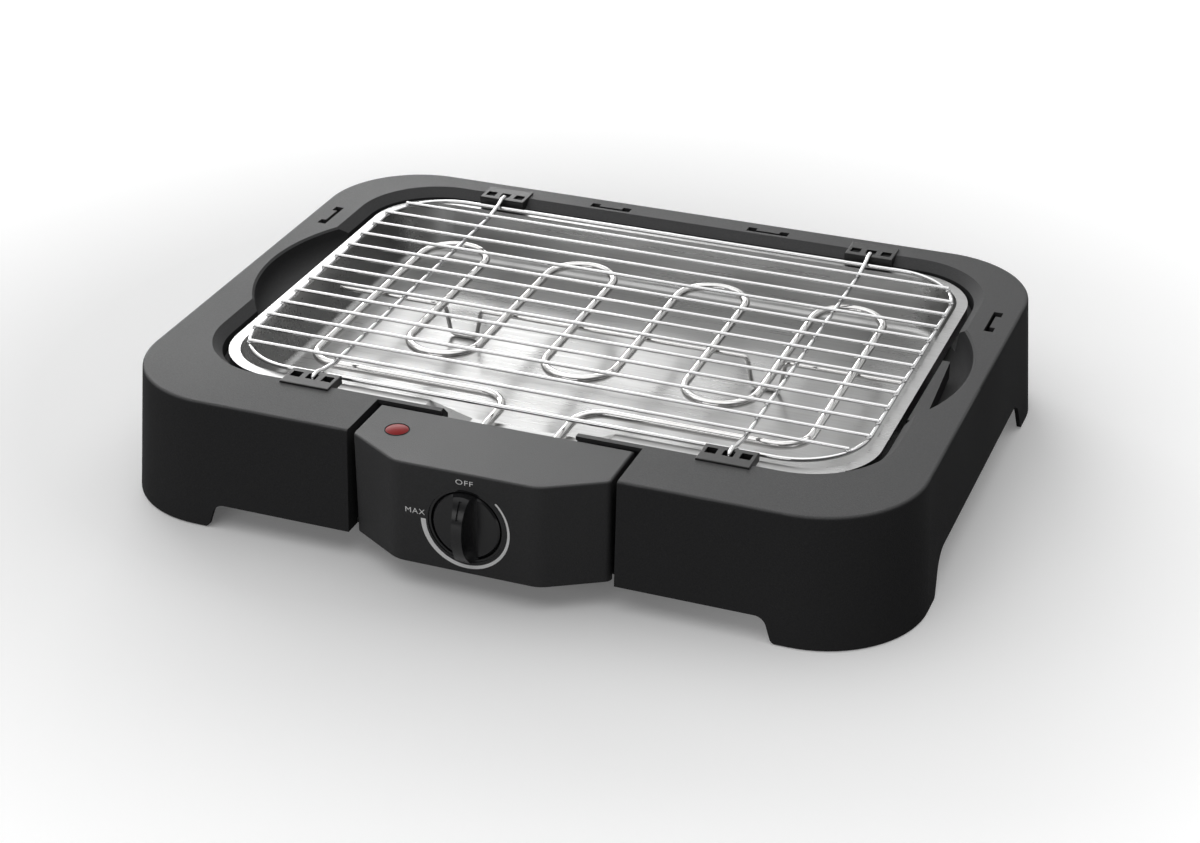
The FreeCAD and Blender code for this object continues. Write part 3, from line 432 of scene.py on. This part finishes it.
# Grate: plated steel wire, cross bars welded onto a ring, and two carriers bent into hooks at their ends.
# The plating is bright, with faint drawing lines along each wire.
bar_chrome = drawn_metal("bar_chrome", color=(0.7, 0.7, 0.7), shade=(0.55, 0.55, 0.555),
                         stretch=(8.0, 900.0, 900.0), smooth=0.05, rough=0.13, depth=0.00001)
carrier_chrome = drawn_metal("carrier_chrome", color=(0.7, 0.7, 0.7), shade=(0.55, 0.55, 0.555),
                             stretch=(900.0, 8.0, 900.0), smooth=0.05, rough=0.13, depth=0.00001)
dress(bar_chrome, "grate_bars", "grate_ring")
dress(carrier_chrome, "grate_carrier_left", "grate_carrier_right")

# Spot welds: where bar meets ring or carrier, the press squeezes a small plated collar out of the joint.
# Each is a flattened, slightly uneven bead that fills the corner between the two wires.
bars_low, bars_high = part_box("grate_bars")
ring_low, ring_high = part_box("grate_ring")
carrier_x = (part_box("grate_carrier_right")[0].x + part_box("grate_carrier_right")[1].x) / 2
bar_half = 0.0012
wire_half = 0.0015
bar_count = 13
ring_corner = 0.047
ring_x = ring_high.x - wire_half
ring_front = ring_low.y + wire_half
ring_back = ring_high.y - wire_half
weld_z = bars_low.z
bead_half = (0.0021, 0.0019, 0.0008)
bead_unevenness = 0.08


def weld_places():
    first = bars_low.y + bar_half
    pitch = (bars_high.y - bar_half - first) / (bar_count - 1)
    for i in range(bar_count):
        y = first + i * pitch
        into = max(ring_front + ring_corner - y, y - ring_back + ring_corner, 0)
        end = ring_x - ring_corner + math.sqrt(ring_corner ** 2 - into ** 2)
        for x in (-end, -carrier_x, carrier_x, end):
            yield x, y


beads = bpy.data.meshes.new("weld_beads")
build = bmesh.new()
for count, (x, y) in enumerate(weld_places()):
    made = bmesh.ops.create_icosphere(build, subdivisions=2, radius=1.0)
    for vert in made["verts"]:
        lump = 1 + bead_unevenness * math.sin(5 * vert.co.x + 1.7 * count) * math.cos(4 * vert.co.y + count)
        vert.co = Vector((x + vert.co.x * bead_half[0] * lump, y + vert.co.y * bead_half[1] * lump,
                          weld_z + vert.co.z * bead_half[2]))
for face in build.faces:
    face.smooth = True
build.to_mesh(beads)
build.free()
welds = bpy.data.objects.new("weld_beads", beads)
bpy.context.scene.collection.objects.link(welds)
weld_chrome = drawn_metal("weld_chrome", color=(0.62, 0.62, 0.62), shade=(0.45, 0.45, 0.455),
                          stretch=(700.0, 700.0, 700.0), smooth=0.16, rough=0.34, depth=0.00002)
beads.materials.append(weld_chrome)
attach(welds, "grate")

# Studio: a pale floor that brightens away from the object, three soft boxes and the camera.
# The sky is white to the camera and darker low in front, so that the wires have a dark side.
floor_mesh = bpy.data.meshes.new("floor")
reach = 12.0
floor_mesh.from_pydata([(-reach, -reach, 0), (reach, -reach, 0), (reach, reach, 0), (-reach, reach, 0)],
                       [], [(0, 1, 2, 3)])
floor = bpy.data.objects.new("floor", floor_mesh)
bpy.context.scene.collection.objects.link(floor)
floor_pale, floor_tree, floor_skin = blank_finish("floor_pale")
floor_place = floor_tree.nodes.new("ShaderNodeTexCoord")
floor_cloud = floor_tree.nodes.new("ShaderNodeTexNoise")
floor_cloud.inputs["Scale"].default_value = 1.5
floor_tint = floor_tree.nodes.new("ShaderNodeValToRGB")
floor_tint.color_ramp.elements[0].color = (0.9, 0.9, 0.9, 1)
floor_tint.color_ramp.elements[1].color = (0.92, 0.92, 0.92, 1)
floor_skin.inputs["Roughness"].default_value = 0.8
floor_skin.inputs["Specular IOR Level"].default_value = 0.0
floor_skin.inputs["Emission Strength"].default_value = 1.0
floor_away = floor_tree.nodes.new("ShaderNodeVectorMath")
floor_away.operation = "DISTANCE"
floor_away.inputs[1].default_value = (-0.12, 0.06, 0)
floor_glow = floor_tree.nodes.new("ShaderNodeMapRange")
floor_glow.inputs["From Min"].default_value = 0.3
floor_glow.inputs["From Max"].default_value = 1.3
floor_glow.inputs["To Min"].default_value = 0.08
floor_glow.inputs["To Max"].default_value = 1.0
dim_floor = floor_tree.nodes.new("ShaderNodeBsdfDiffuse")
dim_floor.inputs["Color"].default_value = (0.25, 0.25, 0.25, 1)
floor_seen = floor_tree.nodes.new("ShaderNodeMixShader")


def seen_rays(tree):
    """1 for what the camera, a reflection or a clear piece sees, 0 for the light that falls on things."""
    rays = tree.nodes.new("ShaderNodeLightPath")
    glossy = tree.nodes.new("ShaderNodeMath")
    glossy.operation = "MAXIMUM"
    clear = tree.nodes.new("ShaderNodeMath")
    clear.operation = "MAXIMUM"
    wire_up(tree, (rays.outputs["Is Camera Ray"], glossy.inputs[0]),
            (rays.outputs["Is Glossy Ray"], glossy.inputs[1]),
            (glossy.outputs[0], clear.inputs[0]), (rays.outputs["Is Transmission Ray"], clear.inputs[1]))
    return clear.outputs[0]


wire_up(floor_tree, (floor_place.outputs["Object"], floor_cloud.inputs["Vector"]),
        (floor_place.outputs["Object"], floor_away.inputs[0]),
        (floor_away.outputs["Value"], floor_glow.inputs["Value"]),
        (floor_glow.outputs["Result"], floor_skin.inputs["Emission Color"]),
        (floor_cloud.outputs["Fac"], floor_tint.inputs["Fac"]),
        (floor_tint.outputs["Color"], floor_skin.inputs["Base Color"]),
        (seen_rays(floor_tree), floor_seen.inputs["Fac"]), (dim_floor.outputs["BSDF"], floor_seen.inputs[1]),
        (floor_skin.outputs["BSDF"], floor_seen.inputs[2]),
        (floor_seen.outputs["Shader"], floor_tree.nodes["Material Output"].inputs["Surface"]))
floor_mesh.materials.append(floor_pale)

world = bpy.data.worlds.new("studio")
bpy.context.scene.world = world
world.use_nodes = True
sky = world.node_tree
sky_place = sky.nodes.new("ShaderNodeTexCoord")
sky_slope = sky.nodes.new("ShaderNodeVectorMath")
sky_slope.operation = "DOT_PRODUCT"
sky_slope.inputs[1].default_value = (-0.2, 0.6, 0.6)
sky_ramp = sky.nodes.new("ShaderNodeMapRange")
sky_ramp.inputs["From Min"].default_value = -0.1
sky_ramp.inputs["From Max"].default_value = 0.75
sky_ramp.inputs["To Min"].default_value = 0.12
sky_ramp.inputs["To Max"].default_value = 1.0
sky_fill = sky.nodes.new("ShaderNodeMix")
sky_fill.inputs["A"].default_value = 0.15
sky_rays = sky.nodes.new("ShaderNodeLightPath")
sky_white = sky.nodes.new("ShaderNodeMix")
sky_white.inputs["B"].default_value = 1.0
wire_up(sky, (sky_place.outputs["Generated"], sky_slope.inputs[0]),
        (sky_slope.outputs["Value"], sky_ramp.inputs["Value"]),
        (sky_rays.outputs["Is Camera Ray"], sky_white.inputs["Factor"]),
        (sky_ramp.outputs["Result"], sky_white.inputs["A"]),
        (seen_rays(sky), sky_fill.inputs["Factor"]), (sky_white.outputs["Result"], sky_fill.inputs["B"]),
        (sky_fill.outputs["Result"], sky.nodes["Background"].inputs["Strength"]))
sky.nodes["Background"].inputs["Color"].default_value = (1, 1, 1, 1)


def soft_lamp(name, place, size, watts):
    """A soft box that points at the middle of the object's footprint."""
    lamp = bpy.data.lights.new(name, "AREA")
    lamp.shape = "RECTANGLE"
    lamp.size, lamp.size_y = size
    lamp.energy = watts
    holder = bpy.data.objects.new(name, lamp)
    holder.location = place
    holder.visible_camera = False
    holder.rotation_euler = (-Vector(place)).to_track_quat("-Z", "Y").to_euler()
    bpy.context.scene.collection.objects.link(holder)


soft_lamp("back_light", place=(-1.9, 2.3, 1.0), size=(2.4, 1.1), watts=46)
soft_lamp("top_light", place=(-0.4, 0.1, 2.2), size=(4.2, 4.2), watts=46)
soft_lamp("front_light", place=(-0.6, -3.0, 1.1), size=(2.4, 1.0), watts=17)

camera_place = (0.542892, -1.378564, 0.816568)
camera_dip = 28.249
camera_turn = 21.203
camera = bpy.data.cameras.new("camera")
camera.sensor_fit = "HORIZONTAL"
camera.sensor_width = 36.0
camera.lens = 75.13
viewer = bpy.data.objects.new("camera", camera)
viewer.location = camera_place
viewer.rotation_euler = (math.radians(90 - camera_dip), 0, math.radians(camera_turn))
bpy.context.scene.collection.objects.link(viewer)
bpy.context.scene.camera = viewer
bpy.context.scene.view_settings.view_transform = "Standard"
